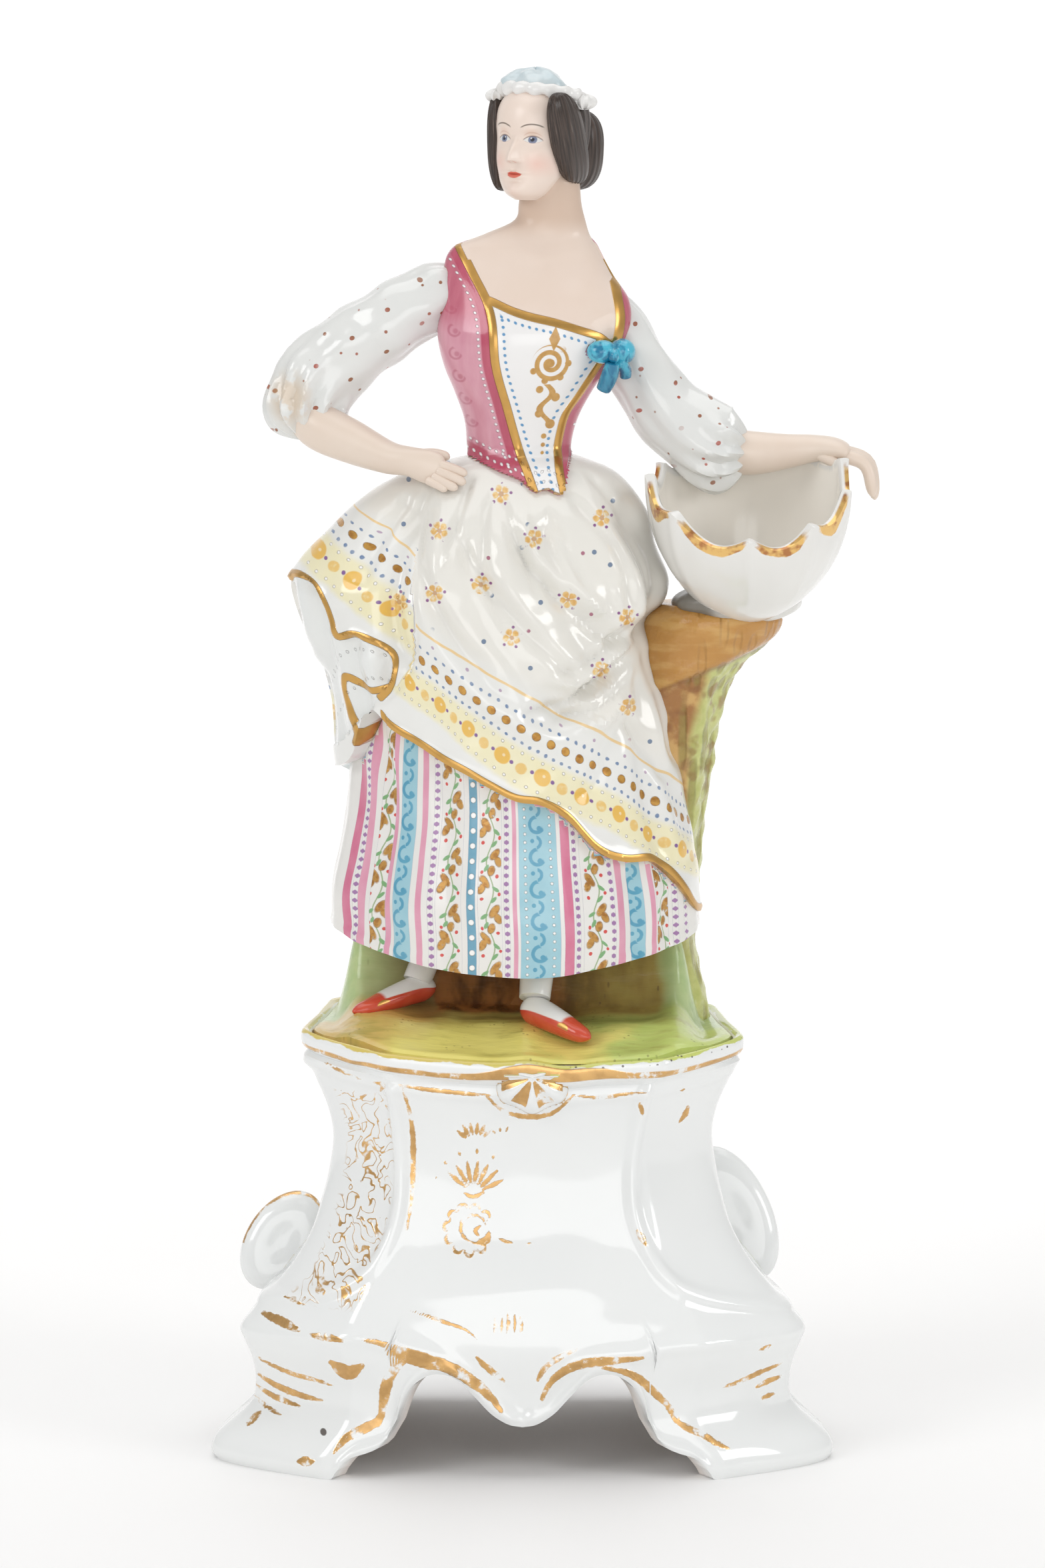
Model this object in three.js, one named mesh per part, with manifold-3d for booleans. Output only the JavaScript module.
// A glazed porcelain maid with one hand on her hip and the other on a bowl that stands on a tree
// stump, all modelled as one piece with the grassy ground, and the rococo stand that carries it.
// Millimetres, +Z up. The viewer looks along +Y, and +X is the viewer's right. Heights are from
// the floor, and X and Y from the middle of the stand's front, until ORIGIN moves the whole group.
import * as THREE from "three";
import Module from "manifold-3d";

const wasm = await Module();
wasm.setup();

// Driving dimensions
const ORIGIN = { x: 5.62, y: -4.95 }; // middle of the overall box, which the group's origin is set to
const GAP = 0.3; // between the ground and the stand
const RIM_Z = 95.6; // top of the stand's rim at the middle of the front
const RIM_RISE = 3.2; // how much higher the rim is at its corners
const RIM_HALF = 50; // half width of the rim
const RIM_WIDTH = 2.4; // how wide the rim is round the ground
const WALL = 5; // thickness of the stand's wall
const CHIN_Z = 289.6;
const HEAD_HEIGHT = 26.5; // chin to crown
const HEAD_TURN = 0.52; // radians, the face turned towards the viewer's left
const LIP_Z = 97; // the rim's plan is the wall's plan at this height
const RIM_EDGE = 0.8; // how far the rim's crest lies inside the wall
const TOP_Z = 94.6; // the stand's top plate, under the ground
const CEILING_Z = 88; // the underside of the top plate, inside the stand
const HANG_Z = 27; // below this the rows of the wall follow its wavy lower edge
const WALL_Z = [90, 83, 75, 64, 54, 45, 38, 31]; // the wall's level rows above that
const INNER_Z = [33, 58];
const LEFT_WING = { x: -57.4, y: 17, z: 42.4, high: 11.5 };
const RIGHT_WING = { x: 50.6, y: 17, z: 49, high: 15.5 };
const WING_HALF = 9.4; // half width of a wing
const WING_THICK = 4.6; // half thickness of a wing
const SHELL = { x: 2.2, y: -38.6, z: 92.4, half: 9, high: 8.6, proud: 4.2, flutes: 7 };
const WAIST_Z = 231; // top of the overskirt
const SKIRT_TOP_Z = 174; // top of the striped skirt, under the overskirt

const TURN = 2 * Math.PI;
const DEGREE = Math.PI / 180;

// The row of values at a key, by a smooth curve through rows that each start with a rising key.
function track(rows, key) {
  const last = rows.length - 1;
  if (key <= rows[0][0]) return rows[0].slice(1);
  if (key >= rows[last][0]) return rows[last].slice(1);
  let i = 0;
  while (rows[i + 1][0] < key) i++;
  const before = rows[Math.max(i - 1, 0)];
  const from = rows[i];
  const to = rows[i + 1];
  const after = rows[Math.min(i + 2, last)];
  const step = to[0] - from[0];
  const t = (key - from[0]) / step;
  const t2 = t * t;
  const t3 = t2 * t;
  return from.slice(1).map((value, n) => {
    const c = n + 1;
    const out = ((to[c] - before[c]) / (to[0] - before[0])) * step;
    const into = ((after[c] - from[c]) / (after[0] - from[0])) * step;
    return (
      value * (2 * t3 - 3 * t2 + 1) +
      out * (t3 - 2 * t2 + t) +
      to[c] * (3 * t2 - 2 * t3) +
      into * (t3 - t2)
    );
  });
}

const steps = (from, to, count) =>
  Array.from({ length: count + 1 }, (_, i) => from + ((to - from) * i) / count);
const clamp = (value) => Math.min(Math.max(value, 0), 1);
const ease = (value) => {
  const t = clamp(value);
  return t * t * (3 - 2 * t);
};

// A closed solid over rings of equally many points, each end closed by a fan to its middle.
function skin(rings) {
  const around = rings[0].length;
  const points = rings.flat();
  const middle = (ring) =>
    [0, 1, 2].map((c) => ring.reduce((sum, p) => sum + p[c], 0) / around);
  const first = points.length;
  points.push(middle(rings[0]), middle(rings[rings.length - 1]));
  const faces = [];
  for (let i = 0; i < around; i++) {
    const next = (i + 1) % around;
    faces.push([first, next, i]);
    for (let j = 0; j + 1 < rings.length; j++) {
      const a = j * around;
      const b = a + around;
      faces.push([a + i, a + next, b + next], [a + i, b + next, b + i]);
    }
    const top = (rings.length - 1) * around;
    faces.push([top + i, top + next, first + 1]);
  }
  const solid = (list) =>
    new wasm.Manifold(
      new wasm.Mesh({
        numProp: 3,
        vertProperties: new Float32Array(points.flat()),
        triVerts: new Uint32Array(list.flat()),
      }),
    );
  const made = solid(faces);
  return made.volume() < 0 ? solid(faces.map(([a, b, c]) => [a, c, b])) : made;
}

// A level ring whose extents to the left, right, front and back are given.
function levelRing([left, right, front, back], z, around, move = (p) => p) {
  const x = (left + right) / 2;
  const y = (front + back) / 2;
  return steps(0, TURN, around)
    .slice(0, around)
    .map((a) =>
      move(
        [
          x + ((right - left) / 2) * Math.cos(a),
          y + ((back - front) / 2) * Math.sin(a),
          z,
        ],
        a,
      ),
    );
}

// A level loft through a table of height, left, right, front and back.
const levelLoft = (rows, heights, around, move) =>
  skin(heights.map((z) => levelRing(track(rows, z), z, around, move)));

// A limb along stations of place x, y, z, half width across it in the front view, and half depth.
// Its ends are rounded off over the given share of its length.
function limb(stations, around, along, { start = 0, end = 0, move } = {}) {
  const rows = stations.map((s, i) => [i / (stations.length - 1), ...s]);
  const place = (t) => new THREE.Vector3(...track(rows, t).slice(0, 3));
  const rings = steps(0, 1, along).map((t) => {
    const [x, y, z, width, depth] = track(rows, t);
    const ahead = place(Math.min(t + 0.01, 1)).sub(place(Math.max(t - 0.01, 0)));
    const across = new THREE.Vector3(0, -1, 0).cross(ahead).normalize();
    const up = ahead.clone().cross(across).normalize();
    const taper =
      Math.sqrt(Math.max(0.06, 1 - (1 - clamp(start ? t / start : 1)) ** 2)) *
      Math.sqrt(Math.max(0.06, 1 - (1 - clamp(end ? (1 - t) / end : 1)) ** 2));
    return steps(0, TURN, around)
      .slice(0, around)
      .map((a) => {
        const swell = move ? move(t, a) : 1;
        const w = width * taper * swell * Math.cos(a);
        const d = depth * taper * swell * Math.sin(a);
        return [
          x + across.x * w + up.x * d,
          y + across.y * w + up.y * d,
          z + across.z * w + up.z * d,
        ];
      });
  });
  return skin(rings);
}

// An egg with three half axes.
function egg([x, y, z], [a, b, c], around = 12, along = 8) {
  const rings = steps(0.12, Math.PI - 0.12, along).map((p) =>
    levelRing([-a, a, -b, b].map((e) => e * Math.sin(p)), -c * Math.cos(p), around),
  );
  return skin(rings).translate([x, y, z]);
}

const joined = (solids) => solids.reduce((all, one) => all.add(one));

// The stand's extents at each height
const STAND = [
  // height, half width, front, back
  [0, 71.6, -46.6, 37],
  [2, 72.6, -46.9, 37.4],
  [5, 71.6, -46.6, 37.2],
  [8, 68.4, -46, 36.6],
  [11, 64.8, -45.4, 36],
  [14, 62.6, -44.8, 35.6],
  [19, 62.2, -45, 35.6],
  [24, 63.2, -45.8, 36],
  [28, 64.8, -46.4, 36.4],
  [31, 65.6, -46.4, 36.4],
  [35, 62.4, -45.6, 35.8],
  [40, 58.4, -44, 34.8],
  [46, 53.4, -42, 33.4],
  [53, 49.2, -39.6, 32],
  [61, 46.6, -37.8, 30.8],
  [68, 45, -36.8, 30.2],
  [75, 44.2, -36.6, 30],
  [81, 45.2, -37.4, 30.4],
  [87, 47.4, -39.2, 31.4],
  [91, 49, -40.4, 32.4],
  [93, 50.8, -42, 33.4],
  [97, 51.2, -42.2, 33.6],
];
// Plan of one half of the stand's wall
const STAND_PLAN = [
  // turn round the stand in degrees from the middle of the front, share of half width, share of depth
  [0, 0, 0],
  [20, 0.33, 0.002],
  [36, 0.6, 0.012],
  [44, 0.68, 0.04],
  [56, 0.9, 0.16],
  [64, 0.99, 0.25],
  [74, 0.985, 0.36],
  [92, 0.95, 0.56],
  [112, 0.92, 0.78],
  [124, 0.89, 0.92],
  [132, 0.8, 0.985],
  [150, 0.48, 1],
  [180, 0, 1],
];
// Lower edge round one half: the front's hanging point, its arch, the foot, the side's low arch, the back
const STAND_EDGE = [
  // turn, height
  [0, 12.2],
  [3, 12.8],
  [7, 15.2],
  [11, 19.6],
  [14.5, 23.4],
  [18, 24.6],
  [21.5, 23.8],
  [25, 20.4],
  [27.2, 14.6],
  [28, 8.6],
  [29.6, 6.6],
  [33, 4.9],
  [35, 2],
  [37, 0],
  [76, 0],
  [82, 6],
  [92, 12],
  [102, 6],
  [108, 0],
  [138, 0],
  [142, 5],
  [152, 10],
  [180, 12],
];
// Turns round the stand at which the wall has a column of points, closer together at arches and corners
const HALF_TURNS = [0, 5, 10, 14, 18, 22, 25.4, 27.6, 31, 37, 39.5, 43, 54, 65, 76, 92, 108, 124, 136, 154];
const STAND_TURNS = [
  ...HALF_TURNS,
  180,
  ...HALF_TURNS.slice(1)
    .map((turn) => 360 - turn)
    .reverse(),
];
const RIB_TURN = 39.5;
const RIB_HEIGHT = 1.1;
const REAR_HALF = 62; // the rear feet spread less than the front ones

// A point of the stand's wall, a given distance inside its outer face.
function standPoint(turn, z, inset) {
  const side = turn > 180 ? -1 : 1;
  const half = turn > 180 ? 360 - turn : turn;
  const [width, front, back] = track(STAND, z);
  const [across, behind] = track(STAND_PLAN, half);
  const reach = width + (Math.min(width, REAR_HALF) - width) * ease((half - 80) / 24);
  const rib = inset > 0 ? 0 : RIB_HEIGHT * ease((z - 36) / 14) * ease((92 - z) / 4);
  const stands = rib * Math.exp(-(((half - RIB_TURN) / 2.4) ** 2));
  const x = side * across * (reach - inset + 0.4 * stands);
  const y = front + inset - stands + behind * (back - front - 2 * inset);
  return [x, y, z];
}

// Height of the rim: it rises to both ends, more at the viewer's left, and dips beside the shell.
function rimZ(x) {
  const ends = RIM_RISE * Math.min(Math.abs(x) / RIM_HALF, 1) ** 3 + 1.5 * ease(-x / 40);
  const dip = 0.7 * Math.exp(-(((x - 10.5) / 5.5) ** 2));
  return RIM_Z + ends - dip + 0.5 * Math.exp(-(((x - 1) / 4) ** 2));
}

// The hollow stand: top plate, outer wall down to the wavy lower edge, inner wall, ceiling.
function standWall() {
  const edge = (turn) => Math.max(track(STAND_EDGE, turn > 180 ? 360 - turn : turn)[0], 0);
  const ring = (heightOf, inset) =>
    STAND_TURNS.map((turn) => standPoint(turn, heightOf(turn), inset));
  const shrink = (points, share, z) => points.map(([x, y]) => [x * share, y * share, z]);
  const onRim = (drop, inset) =>
    ring(() => LIP_Z, inset).map(([x, y]) => [x, y, rimZ(x) - drop]);
  const hanging = (share) => (turn) => edge(turn) + (HANG_Z - edge(turn)) * share;
  return skin([
    shrink(onRim(0, 4), 0.5, TOP_Z),
    ring(() => LIP_Z, RIM_WIDTH + GAP).map(([x, y]) => [x, y, TOP_Z]),
    onRim(0.2, RIM_WIDTH),
    onRim(0, RIM_EDGE),
    onRim(1.4, 0),
    onRim(4.2, 1.2),
    ...WALL_Z.map((z) => ring(() => z, 0)),
    ...[0.62, 0.26, 0].map((share) => ring(hanging(share), 0)),
    ...[0, 0.5].map((share) => ring(hanging(share), WALL)),
    ...INNER_Z.map((z) => ring(() => z, WALL)),
    shrink(ring(() => CEILING_Z, WALL), 0.94, CEILING_Z),
  ]);
}

// A leaf that curls out of the stand's side near the back: a thick dish that leans on the wall.
function wing(middle) {
  const side = Math.sign(middle.x);
  const extents = [-WING_HALF, WING_HALF, -WING_THICK, WING_THICK];
  const rings = steps(0.2, Math.PI - 0.2, 4).map((p) =>
    levelRing(extents.map((e) => e * Math.sin(p)), 0, 10, ([x, y]) => {
      const up = -middle.high * Math.cos(p);
      return [middle.x + side * (x - 0.32 * up), middle.y + y + 0.2 * up, middle.z + up];
    }),
  );
  return skin(rings);
}

// The scallop shell that hangs from the rim: a dome about its hinge, with flutes that spread downwards.
function shell() {
  const ring = (reach, proud) =>
    steps(0, TURN, 2 * SHELL.flutes)
      .slice(0, 2 * SHELL.flutes)
      .map((turn) => {
        const flute = Math.cos(SHELL.flutes * (turn + Math.PI / 2));
        const edge = 1 + 0.05 * flute * ease((-Math.sin(turn) + 0.1) / 0.4);
        const down = Math.sin(turn) < 0 ? SHELL.high : SHELL.high * 0.2;
        return [
          SHELL.x + SHELL.half * reach * Math.cos(turn) * edge,
          SHELL.y - proud,
          SHELL.z + down * reach * Math.sin(turn) * edge,
        ];
      });
  const dome = (reach) => ring(reach, SHELL.proud * Math.sqrt(1 - reach ** 2 * 0.98));
  return skin([dome(0.25), dome(0.6), dome(0.88), dome(1), ring(1, -2)]);
}

const stand = joined([standWall(), wing(LEFT_WING), wing(RIGHT_WING), shell()]);

// The maid's clothes and body at each height
const TORSO = [
  // height, left, right, front, back
  [219, -11.5, 12, -10, 9.5],
  [226, -11.6, 11.4, -10.5, 9],
  [232.5, -12.4, 10.8, -10, 8],
  [239, -13, 12.2, -11, 7.6],
  [245, -15, 15.2, -12.8, 7.8],
  [252, -17.8, 19.8, -14.6, 8.4],
  [259, -19.2, 24, -15.2, 9],
  [266.6, -18.6, 24.2, -12.6, 9.2],
  [272.7, -18, 20.2, -9.4, 8.8],
  [278.8, -15.6, 17, -6.6, 7.6],
  [281.8, -8.6, 15.4, -5.4, 6.8],
  [284.8, -2, 14.5, -5.4, 6.2],
  [288.5, -0.9, 13.6, -6, 5.6],
  [293, -0.6, 13.2, -6.4, 5.4],
  [297, 0, 12.6, -6, 5],
];
const OVERSKIRT = [
  // height, left, right, front, back
  [119, -43.4, 41.4, -31.4, 24],
  [136, -42.4, 40.8, -31.4, 24],
  [149, -42.4, 38.2, -31.4, 24],
  [161, -43.8, 36.2, -31.5, 24],
  [171, -44.6, 34.6, -31.8, 23.8],
  [180, -46, 32.4, -32.2, 23.4],
  [186, -49, 30.8, -32.2, 23],
  [192, -51.6, 29.6, -31.6, 22.6],
  [197, -53.4, 33.4, -30.8, 22.2],
  [203, -54, 34.2, -29.6, 21.4],
  [210, -48.8, 31.4, -26.6, 20],
  [217, -41.8, 29.4, -23, 17.6],
  [221, -37.4, 27.2, -19.8, 15.6],
  [225, -31.4, 24, -16.4, 13],
  [228.6, -23, 19, -13.4, 10.6],
  [231, -12.6, 12.4, -10.6, 8.6],
];
const UNDERSKIRT = [
  // height, left, right, front, back
  [108, -43.4, 39.8, -29.6, 22.6],
  [121, -44.2, 41, -30.4, 23.4],
  [130, -44.5, 40.6, -30.2, 23.2],
  [139.5, -42.7, 38.6, -29.6, 22.8],
  [149, -41, 36.8, -29.4, 22.4],
  [160, -40, 34.6, -29, 22],
  [175, -38, 30, -28.5, 21],
];
// Height of each hem at a turn in degrees, seen from above: 0 at the viewer's right, 270 in front
const OVERSKIRT_HEM = [
  // turn, height
  [0, 125],
  [45, 128],
  [90, 136],
  [135, 150],
  [165, 158],
  [195, 160],
  [208, 163],
  [221, 174],
  [232, 169.5],
  [241, 166.5],
  [249, 163],
  [257, 160],
  [264, 157],
  [272, 154],
  [280, 153],
  [288, 149.5],
  [297, 142],
  [306, 139.5],
  [318, 139],
  [326, 136],
  [337, 130],
  [348, 126],
  [360, 125],
];
const UNDERSKIRT_HEM = [
  // turn, height
  [0, 122],
  [90, 112],
  [180, 122],
  [213, 119.3],
  [229, 117.1],
  [248, 114.6],
  [270, 113.2],
  [282, 113.3],
  [296, 114.8],
  [308, 116.2],
  [325, 118.3],
  [347, 120.8],
  [360, 122],
];
// Folds of the cloth as seen from the front: places x, z along each, then its half width and height.
// A negative height is a groove.
const OVERSKIRT_FOLDS = [
  { line: [[-20, 224], [-27, 212], [-30, 200], [-29, 190], [-24, 183]], half: 3, high: -2.2 },
  { line: [[-26, 223], [-34, 211], [-38, 203]], half: 2.6, high: -1.3 },
  { line: [[-14, 224], [-20, 208], [-21, 196], [-13, 183], [0, 172], [10, 166]], half: 3.4, high: 1.4 },
  { line: [[-10, 222], [-13, 206], [-8, 192], [4, 178], [14, 172]], half: 2.4, high: -1.1 },
  { line: [[-4, 221], [-4, 205], [3, 192], [13, 181], [19, 177]], half: 3, high: 1.2 },
  { line: [[4, 220], [5, 207], [11, 194], [17, 186], [22, 187]], half: 2.2, high: -0.9 },
  { line: [[13, 223], [21, 211], [26, 200], [25, 190], [18, 183]], half: 2.6, high: 1.2 },
  { line: [[17, 224], [26, 212], [30, 202], [30, 193], [22, 182], [8, 176]], half: 2, high: -1.3 },
  { line: [[27, 190], [18, 178], [8, 172], [-2, 174]], half: 2, high: -1.2 },
  { line: [[29, 188], [27, 170], [30, 150], [34, 134]], half: 2.4, high: -1 },
  { line: [[25, 178], [18, 162], [14, 152]], half: 2.6, high: -0.8 },
  { line: [[31, 180], [32, 160], [37, 138]], half: 2.4, high: 1 },
];
const UNDERSKIRT_FOLDS = [
  { line: [[-33, 172], [-30, 150], [-32, 132], [-31, 116]], half: 1.8, high: -1.6 },
  { line: [[-37, 166], [-37, 140], [-40, 118]], half: 2, high: -0.9 },
  { line: [[-20, 168], [-17, 140], [-17, 114]], half: 2.4, high: -0.7 },
  { line: [[24, 140], [25, 128], [26, 116]], half: 2, high: -0.8 },
  { line: [[33, 132], [34, 118]], half: 1.8, high: -0.8 },
];

// How far folds push a place of the cloth's front out; a fold fades out towards both its ends.
function foldHeight(folds, x, z) {
  let sum = 0;
  for (const { line, half, high } of folds) {
    let best = Infinity;
    let along = 0;
    for (let i = 0; i + 1 < line.length; i++) {
      const [ax, az] = line[i];
      const [dx, dz] = [line[i + 1][0] - ax, line[i + 1][1] - az];
      const t = clamp(((x - ax) * dx + (z - az) * dz) / (dx * dx + dz * dz));
      const off = Math.hypot(x - ax - t * dx, z - az - t * dz);
      if (off < best) {
        best = off;
        along = (i + t) / (line.length - 1);
      }
    }
    const fade = ease(along * 5) * ease((1 - along) * 5 + 0.2);
    sum += high * fade * Math.exp(-((best / half) ** 2));
  }
  return sum;
}

// Cloth from its hem up to its top, with folds on the front and a hem that wanders up and down. Its
// points stand closer together in front, and its underside is closed the given depth inside the hem.
function cloth(rows, hem, folds, top, around, along, inside) {
  const turns = [...steps(0, 180, around / 4), ...steps(180, 360, (3 * around) / 4).slice(1, -1)];
  const point = (turn, z, shrink) => {
    const [left, right, front, back] = track(rows, z);
    const [cos, sin] = [Math.cos(turn * DEGREE), Math.sin(turn * DEGREE)];
    const x = (left + right) / 2 + ((right - left) / 2) * cos;
    const y = (front + back) / 2 + ((back - front) / 2) * sin;
    const push = sin < 0.2 ? foldHeight(folds, x, z) * ease(0.5 - 2 * sin) : 0;
    const out = push - shrink;
    return [x + out * cos, y + out * sin, z];
  };
  const ring = (share, shrink = 0, lift = 0) =>
    turns.map((turn) => {
      const low = track(hem, turn)[0];
      return point(turn, low + (top - low) * share + lift, shrink);
    });
  return skin([ring(0, inside, 2), ring(0, 1.2), ...steps(0, 1, along).map((t) => ring(t))]);
}

// The ground: flat towards the front edge, and rising behind into banks that carry the skirt
function groundHeight(x, y) {
  const rise = 5 * ease((y + 42) / 26) + 2 * ease((y + 16) / 8);
  const bank = 17 * ease((y + 9) / 9);
  const edge = ease((34 - y) / 8) * ease((43.4 - Math.abs(x + 1)) / 7);
  return rimZ(x) + 0.4 + (rise + bank) * edge;
}

function ground() {
  const ring = (share, top) =>
    STAND_TURNS.map((turn) => {
      const [x, y] = standPoint(turn, LIP_Z, RIM_WIDTH + 2 * GAP);
      const at = [x * share, ORIGIN.y + (y - ORIGIN.y) * share];
      return [...at, top ? groundHeight(...at) - (share === 1 ? 0.6 : 0) : TOP_Z + GAP];
    });
  const shares = [1, 0.95, 0.8, 0.55];
  return skin([ring(1, false), ...shares.map((share) => ring(share, true))]);
}

// The tree stump at the viewer's right, from the ground to the collar under the bowl
const STUMP = [
  // height, left, right, front, back
  [96, 12, 45, -6, 26],
  [104, 14, 44, -4, 25],
  [117, 16, 41.5, -3, 24],
  [132, 18, 42.2, -5, 22],
  [142, 20, 42.6, -6, 21],
  [158, 22, 44.6, -7, 20],
  [168, 23, 46.2, -8, 19],
  [176, 24, 48.2, -9, 19],
  [182, 24.6, 51.4, -11, 19],
  [186.5, 25, 56, -12, 19],
  [190, 26, 59.2, -13, 19],
  [192.5, 27, 60.6, -13.4, 18],
  [194.4, 28, 59.6, -13, 17],
  [196.5, 30, 57, -10, 15],
];

// Heights at which stump and torso have a ring of points
const STUMP_Z = [96, 112, 124, 142, 160, 174, 182, 187, 192.5, 196.5];
const TORSO_Z = [219, 232, 242, 250, 257, 264, 271, 277, 281, 284.6, 289, 297];

// Arms, hands, legs and feet: x, y, z, half width in the front view, half depth
const RIGHT_SLEEVE = [
  [-14, 3.4, 272.4, 7, 6.4],
  [-20.8, 1.6, 266.9, 8.6, 8.3],
  [-29.8, 0, 262, 8.6, 8.8],
  [-35.4, 0.6, 258.3, 9, 9.2],
  [-41, 1, 254, 9.7, 9.6],
  [-46.2, 1, 249.2, 10.6, 9.8],
  [-49.8, 0, 242.6, 10, 9.2],
  [-50, -2, 234.6, 9.2, 8],
];
const RIGHT_FOREARM = [
  [-50, -1, 243, 5.4, 5],
  [-47, -3.6, 238, 5.6, 5.2],
  [-39, -7, 234.2, 5, 4.8],
  [-31, -10.6, 231, 3.8, 4],
  [-26, -13, 230.2, 3.4, 3.2],
  [-21.4, -14.6, 229, 3.9, 2.2],
  [-17.6, -15.2, 227.8, 3.1, 1.7],
];
const LEFT_SLEEVE = [
  [16, 2.6, 266.4, 6, 6],
  [21.6, 2, 259.4, 7.8, 7.4],
  [27.6, 0, 250, 7.9, 8.2],
  [33.3, -1.4, 241.6, 8.5, 8.8],
  [40.4, -2.6, 235.8, 9.9, 9.3],
  [45.4, -3.4, 232.6, 10.2, 9],
  [52.4, -4, 231.4, 7.4, 7],
];
const LEFT_FOREARM = [
  [45, -4, 232, 5.4, 5],
  [53.6, -4.4, 231.6, 5, 4.8],
  [61, -4, 232, 4, 4],
  [67, -3.4, 232.6, 3.2, 4],
  [72, -3, 232.4, 2.7, 5],
  [75.4, -2.8, 231.2, 2, 4.8],
];
const RIGHT_LEG = [
  [-20.6, -4, 122, 4.4, 4.4],
  [-22.4, -6, 114.6, 3.5, 3.6],
  [-24.6, -8, 109, 3.3, 3.6],
];
const RIGHT_SHOE = [
  [-20.4, -6, 107.6, 2.8, 2.6],
  [-24.6, -8.6, 107.2, 3.2, 3],
  [-30, -12.4, 105.8, 2.8, 3.4],
  [-35.6, -16.4, 104.2, 2, 2.8],
  [-39.2, -19, 103.6, 1.2, 1.4],
];
const LEFT_LEG = [
  [4.4, -13, 122, 5, 5],
  [3.4, -17, 113, 4, 4.2],
  [2.8, -20, 107, 3.6, 4],
];
const LEFT_SHOE = [
  [0, -18, 104.4, 2.8, 2.8],
  [3.4, -21, 104, 3.4, 3.4],
  [8, -25.6, 102.4, 3, 3.4],
  [12.6, -30, 100.6, 2.2, 2.8],
  [15.4, -33, 99.8, 1.3, 1.5],
];
// Fingers: the right hand's lie on the hip, the left hand's hang over the bowl's rim
const RIGHT_FINGERS = [
  { from: [-19, -15.4, 229.6], middle: [-15.6, -16.2, 228.6], to: [-12.6, -16.6, 227.4], half: 1.15 },
  { from: [-19.6, -15.8, 228.2], middle: [-16, -16.8, 226.8], to: [-12.9, -17.2, 225.4], half: 1.2 },
  { from: [-20.6, -16, 227], middle: [-17.6, -17.2, 225.4], to: [-14.8, -17.8, 224.2], half: 1.15 },
  { from: [-21.8, -16, 226.2], middle: [-19.4, -17.2, 225], to: [-17.2, -17.8, 223.8], half: 1 },
  { from: [-24, -12.4, 231.6], middle: [-20, -12, 231.8], to: [-16.6, -12, 231], half: 1.3 },
];
const LEFT_FINGERS = [
  { from: [73, -5.4, 231.4], middle: [79, -6.2, 228.8], to: [80.8, -6.6, 221.6], half: 1.6 },
  { from: [73, -3.2, 231.8], middle: [79.6, -3.6, 229], to: [81.4, -4, 220.8], half: 1.65 },
  { from: [73, -1, 232], middle: [79.8, -1.2, 229.4], to: [81.6, -1.6, 221.2], half: 1.6 },
  { from: [72.6, 1, 231.8], middle: [79.2, 1.2, 229.2], to: [81, 0.8, 222.8], half: 1.5 },
  { from: [68, -5.4, 231.4], middle: [72, -7, 229.4], to: [74.6, -7.4, 227.4], half: 1.2 },
];

const finger = ({ from, middle, to, half }) =>
  limb([from, middle, to].map((p, i) => [...p, half * (1.1 - i * 0.12), half * (1.1 - i * 0.12)]), 6, 3, {
    end: 0.2,
  });

// The bowl: a dish tilted towards the viewer. Its rim is hollowed between points and highest at both ends.
const BOWL = { x: 52, y: -4.6, z: 193, lean: 0.3, height: 31.2, half: 23.6, depth: 21 };
const BOWL_WALL = 2.2;
const BOWL_POINTS = 10;
const PAD = { middle: [49.6, -4, 197], axes: [15, 11, 4.8] }; // the white pad between stump and bowl

function bowl() {
  const around = 4 * BOWL_POINTS;
  const turns = steps(0, TURN, around).slice(0, around);
  const tilt = new THREE.Matrix4()
    .makeTranslation(BOWL.x, BOWL.y, BOWL.z)
    .multiply(new THREE.Matrix4().makeRotationX(BOWL.lean));
  // A ring at a share of the way along the curve from the foot's middle to the rim
  const ring = (t, wall) =>
    turns.map((a) => {
      // the two points at the viewer's left stand further apart
      const slip = 0.33 * Math.exp(-((((a - 3.32) / 0.87) ** 2)));
      const lobe = Math.abs(Math.cos((BOWL_POINTS / 2) * (a + slip)));
      const reach = Math.sin((t * Math.PI) / 2) ** 1.2 * (1 - 0.03 * t * lobe);
      const behind = Math.max(Math.sin(a), 0);
      const front = Math.max(-Math.sin(a), 0);
      const back = behind * (0.13 + 0.1 * Math.cos(a));
      const ends = 1 + t * t * (0.16 * Math.cos(a) ** 2 - 0.1 * front + back);
      const notch = 1 - 0.12 * t * t * lobe * (1 - 0.6 * behind);
      const rise = BOWL.height * (1 - Math.cos((t * Math.PI) / 2)) * ends * notch;
      const x = (BOWL.half - wall) * reach * Math.cos(a);
      const y = (BOWL.depth - wall) * reach * Math.sin(a);
      const z = wall ? Math.max(rise, BOWL_WALL) : rise;
      return new THREE.Vector3(x, y, z).applyMatrix4(tilt).toArray();
    });
  return skin([
    ...[0.15, 0.4, 0.65, 0.85, 1].map((t) => ring(t, 0)),
    ...[1, 0.8, 0.55, 0.3].map((t) => ring(t, BOWL_WALL)),
  ]);
}

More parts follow.
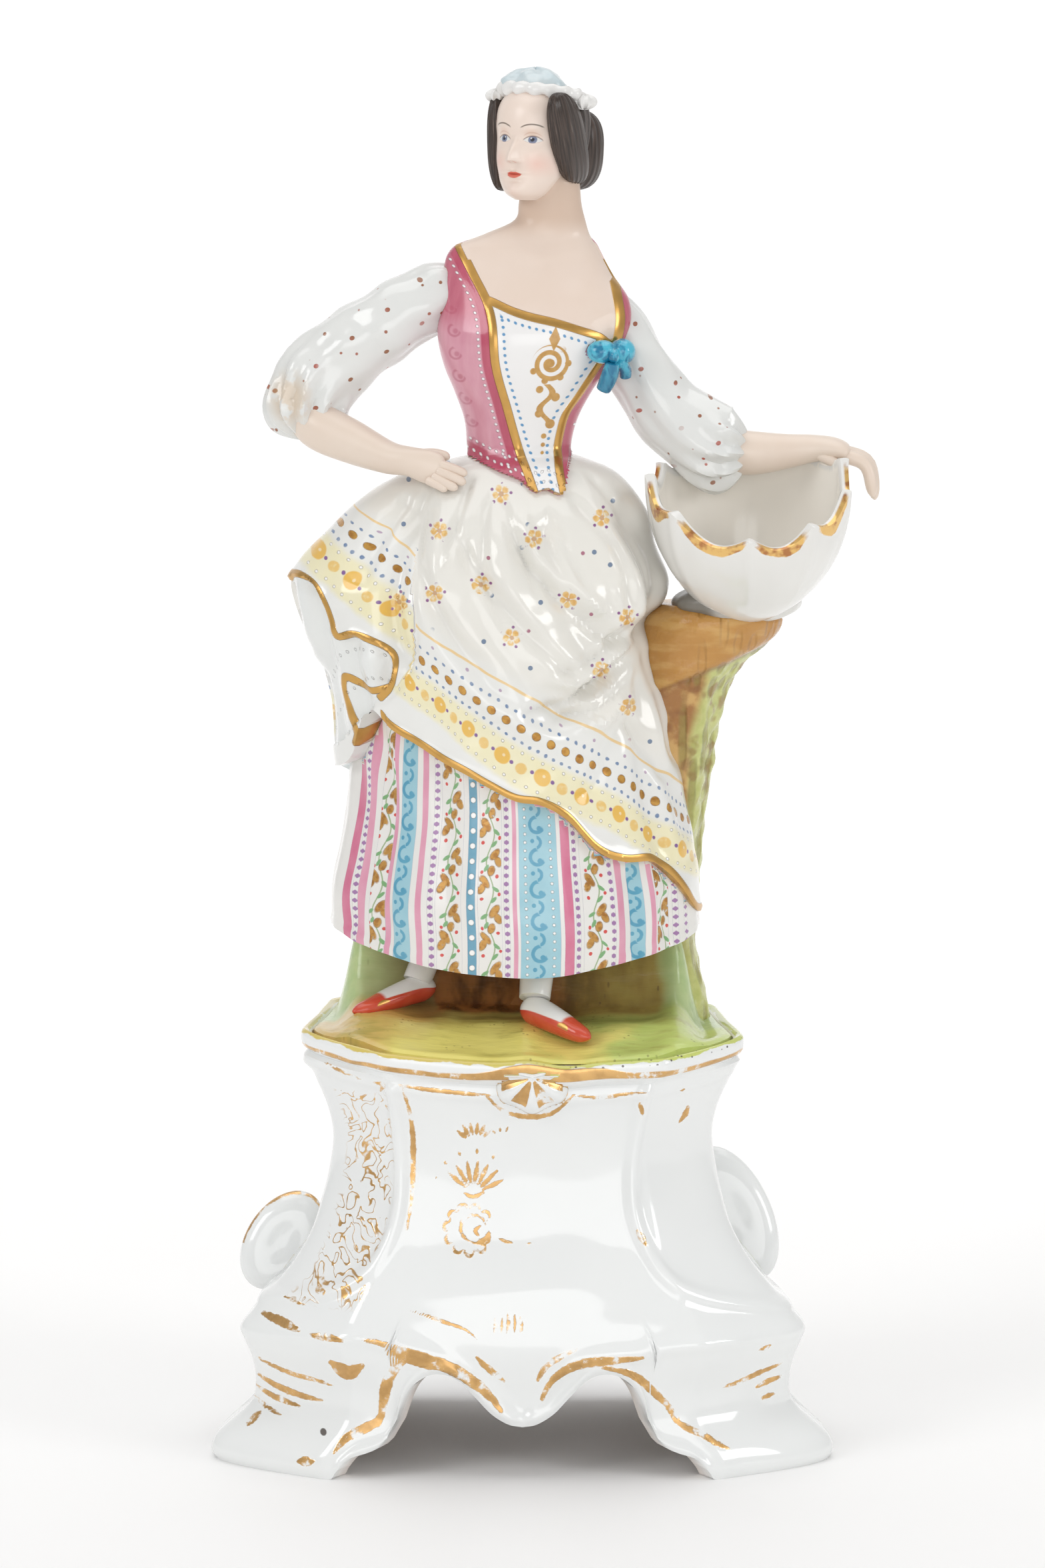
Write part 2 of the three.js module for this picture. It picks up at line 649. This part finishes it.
// Head, in its own frame: x to the face's left, y behind the face, z up from the chin as a share of
// HEAD_HEIGHT.
const HEAD = [
  // share, half width, front, back
  [0, 2.4, -7, 1],
  [0.05, 4.4, -9.2, 2.4],
  [0.14, 6.2, -9.8, 4],
  [0.22, 7.3, -9.6, 6],
  [0.3, 8.1, -9.6, 8],
  [0.42, 8.6, -9.8, 9.6],
  [0.54, 9.1, -9.6, 10.6],
  [0.66, 9.3, -9.9, 11],
  [0.8, 8.9, -9.2, 10.6],
  [0.91, 7, -7, 8.6],
  [0.98, 3.8, -3.6, 5],
];
const HEAD_MIDDLE = { x: 2.6, y: -1.6 };
const NOSE = { share: 0.36, bridge: 0.56, proud: 2.2 };

const headPlace = new THREE.Matrix4()
  .makeTranslation(HEAD_MIDDLE.x, HEAD_MIDDLE.y, CHIN_Z)
  .multiply(new THREE.Matrix4().makeRotationZ(-HEAD_TURN))
  .multiply(new THREE.Matrix4().makeRotationY(0.05));
const onHead = ([x, y, z]) => new THREE.Vector3(x, y, z).applyMatrix4(headPlace).toArray();

function head() {
  const shares = [0, 0.06, 0.14, 0.23, 0.3, 0.36, 0.45, 0.55, 0.68, 0.82, 0.94];
  return skin(
    shares.map((share) =>
      levelRing(
        (([half, front, back]) => [-half, half, front, back])(track(HEAD, share)),
        share * HEAD_HEIGHT,
        18,
        ([x, y, z]) => {
          const beside = Math.exp(-((x / 1.5) ** 2));
          const low = ease((share - NOSE.share + 0.07) / 0.06);
          const nose = low * ease((NOSE.bridge - share) / (NOSE.bridge - NOSE.share));
          return onHead([x, y < 0 ? y - NOSE.proud * beside * nose : y, z]);
        },
      ),
    ),
  );
}

// An egg in the head's frame. A power above 2 squares it, and it leans back going down by the shear.
function headEgg({ middle, axes, power = 2, shear = 0 }, around = 12, along = 6) {
  const rings = steps(0.14, Math.PI - 0.14, along).map((p) =>
    levelRing([-1, 1, -1, 1], 0, around, ([x, y]) => {
      const unit = [x * Math.sin(p), y * Math.sin(p), -Math.cos(p)];
      const size = unit.reduce((sum, u) => sum + Math.abs(u) ** power, 0) ** (-1 / power);
      const [dx, dy, dz] = unit.map((u, i) => u * size * axes[i]);
      return onHead([middle[0] + dx, middle[1] + dy - shear * dz, middle[2] + dz]);
    }),
  );
  return skin(rings);
}

// Hair: smooth hair over the skull, a band combed down over each ear, and a low bun
const HAIR = [
  { middle: [0, 3.6, 16.2], axes: [9.9, 9.6, 9.8], power: 2.7 },
  { middle: [8.7, -0.8, 14.4], axes: [2.6, 6.4, 10.2], power: 2.7, shear: 0.44 },
  { middle: [-9.4, 0.6, 13], axes: [2.1, 5.2, 11.4], power: 2.7, shear: 0.12 },
  { middle: [2.8, 12.6, 11.6], axes: [6.8, 5.6, 9.2], power: 2.7 },
];
// The cap, and the lappets of its frill
const CAP = [
  { middle: [-1.9, 1.4, 25.1], axes: [8.2, 7.8, 5.24] },
  { middle: [10.2, 3.4, 22.8], axes: [2.6, 3.6, 1.7] },
  { middle: [-9.9, -1.6, 23.2], axes: [2.2, 3.6, 1.6] },
];

function frill() {
  const stations = steps(-102, 102, 8).map((turn) => {
    const [sin, cos] = [Math.sin(turn * DEGREE), Math.cos(turn * DEGREE)];
    return [...onHead([9.6 * sin, 2.2 - 8.4 * cos, 24 + 1.3 * cos]), 1.5, 1.2];
  });
  return limb(stations, 6, 12, { start: 0.04, end: 0.04 });
}

// The bow at the corner of the neckline: two loops and a knot, then a tail
const BOW = [
  { middle: [18.2, -13.2, 255.2], axes: [3.6, 3, 2.7] },
  { middle: [22.8, -11, 255.2], axes: [3.1, 3.6, 3] },
  { middle: [20.8, -13.4, 254.4], axes: [1.6, 3.6, 1.9] },
];
const BOW_TAIL = [
  [20.6, -14, 253, 1.6, 2.2],
  [19.8, -13.4, 249.6, 2, 2],
  [18.2, -12.8, 246, 1.6, 1.6],
];

const figure = joined([
  ground(),
  levelLoft(STUMP, STUMP_Z, 16),
  cloth(UNDERSKIRT, UNDERSKIRT_HEM, UNDERSKIRT_FOLDS, SKIRT_TOP_Z, 32, 4, 6),
  cloth(OVERSKIRT, OVERSKIRT_HEM, OVERSKIRT_FOLDS, WAIST_Z, 40, 12, 8),
  levelLoft(TORSO, TORSO_Z, 18),
  limb(RIGHT_SLEEVE, 12, 8, { start: 0.1, end: 0.12 }),
  limb(RIGHT_FOREARM, 10, 6, { end: 0.1 }),
  limb(LEFT_SLEEVE, 12, 8, { start: 0.1, end: 0.12 }),
  limb(LEFT_FOREARM, 10, 6, { end: 0.08 }),
  ...RIGHT_FINGERS.map(finger),
  ...LEFT_FINGERS.map(finger),
  limb(RIGHT_LEG, 10, 3),
  limb(RIGHT_SHOE, 10, 6, { start: 0.2, end: 0.2 }),
  limb(LEFT_LEG, 10, 3),
  limb(LEFT_SHOE, 10, 6, { start: 0.2, end: 0.2 }),
  bowl(),
  egg(PAD.middle, PAD.axes),
  head(),
  ...HAIR.map((lock) => headEgg(lock)),
  ...CAP.map((part) => headEgg(part, 12, 5)),
  frill(),
  ...BOW.map(({ middle, axes }) => egg(middle, axes, 8, 5)),
  limb(BOW_TAIL, 6, 3),
]);

const geometryOf = (solid) => {
  const mesh = solid.getMesh();
  const geometry = new THREE.BufferGeometry();
  const positions = new THREE.BufferAttribute(mesh.vertProperties, mesh.numProp);
  geometry.setAttribute("position", positions);
  geometry.setIndex(new THREE.BufferAttribute(mesh.triVerts, 1));
  geometry.computeVertexNormals();
  return geometry;
};

const glazed = (color, roughness) =>
  new THREE.MeshStandardMaterial({ color, roughness, metalness: 0 });

const group = new THREE.Group();
const plinth = new THREE.Mesh(geometryOf(stand), glazed(0xe2e3e1, 0.12));
plinth.name = "plinth";
const maid = new THREE.Mesh(geometryOf(figure), glazed(0xe6e2db, 0.16));
maid.name = "maid";
group.add(plinth, maid);
for (const mesh of group.children) mesh.position.set(-ORIGIN.x, -ORIGIN.y, 0);

export default group;
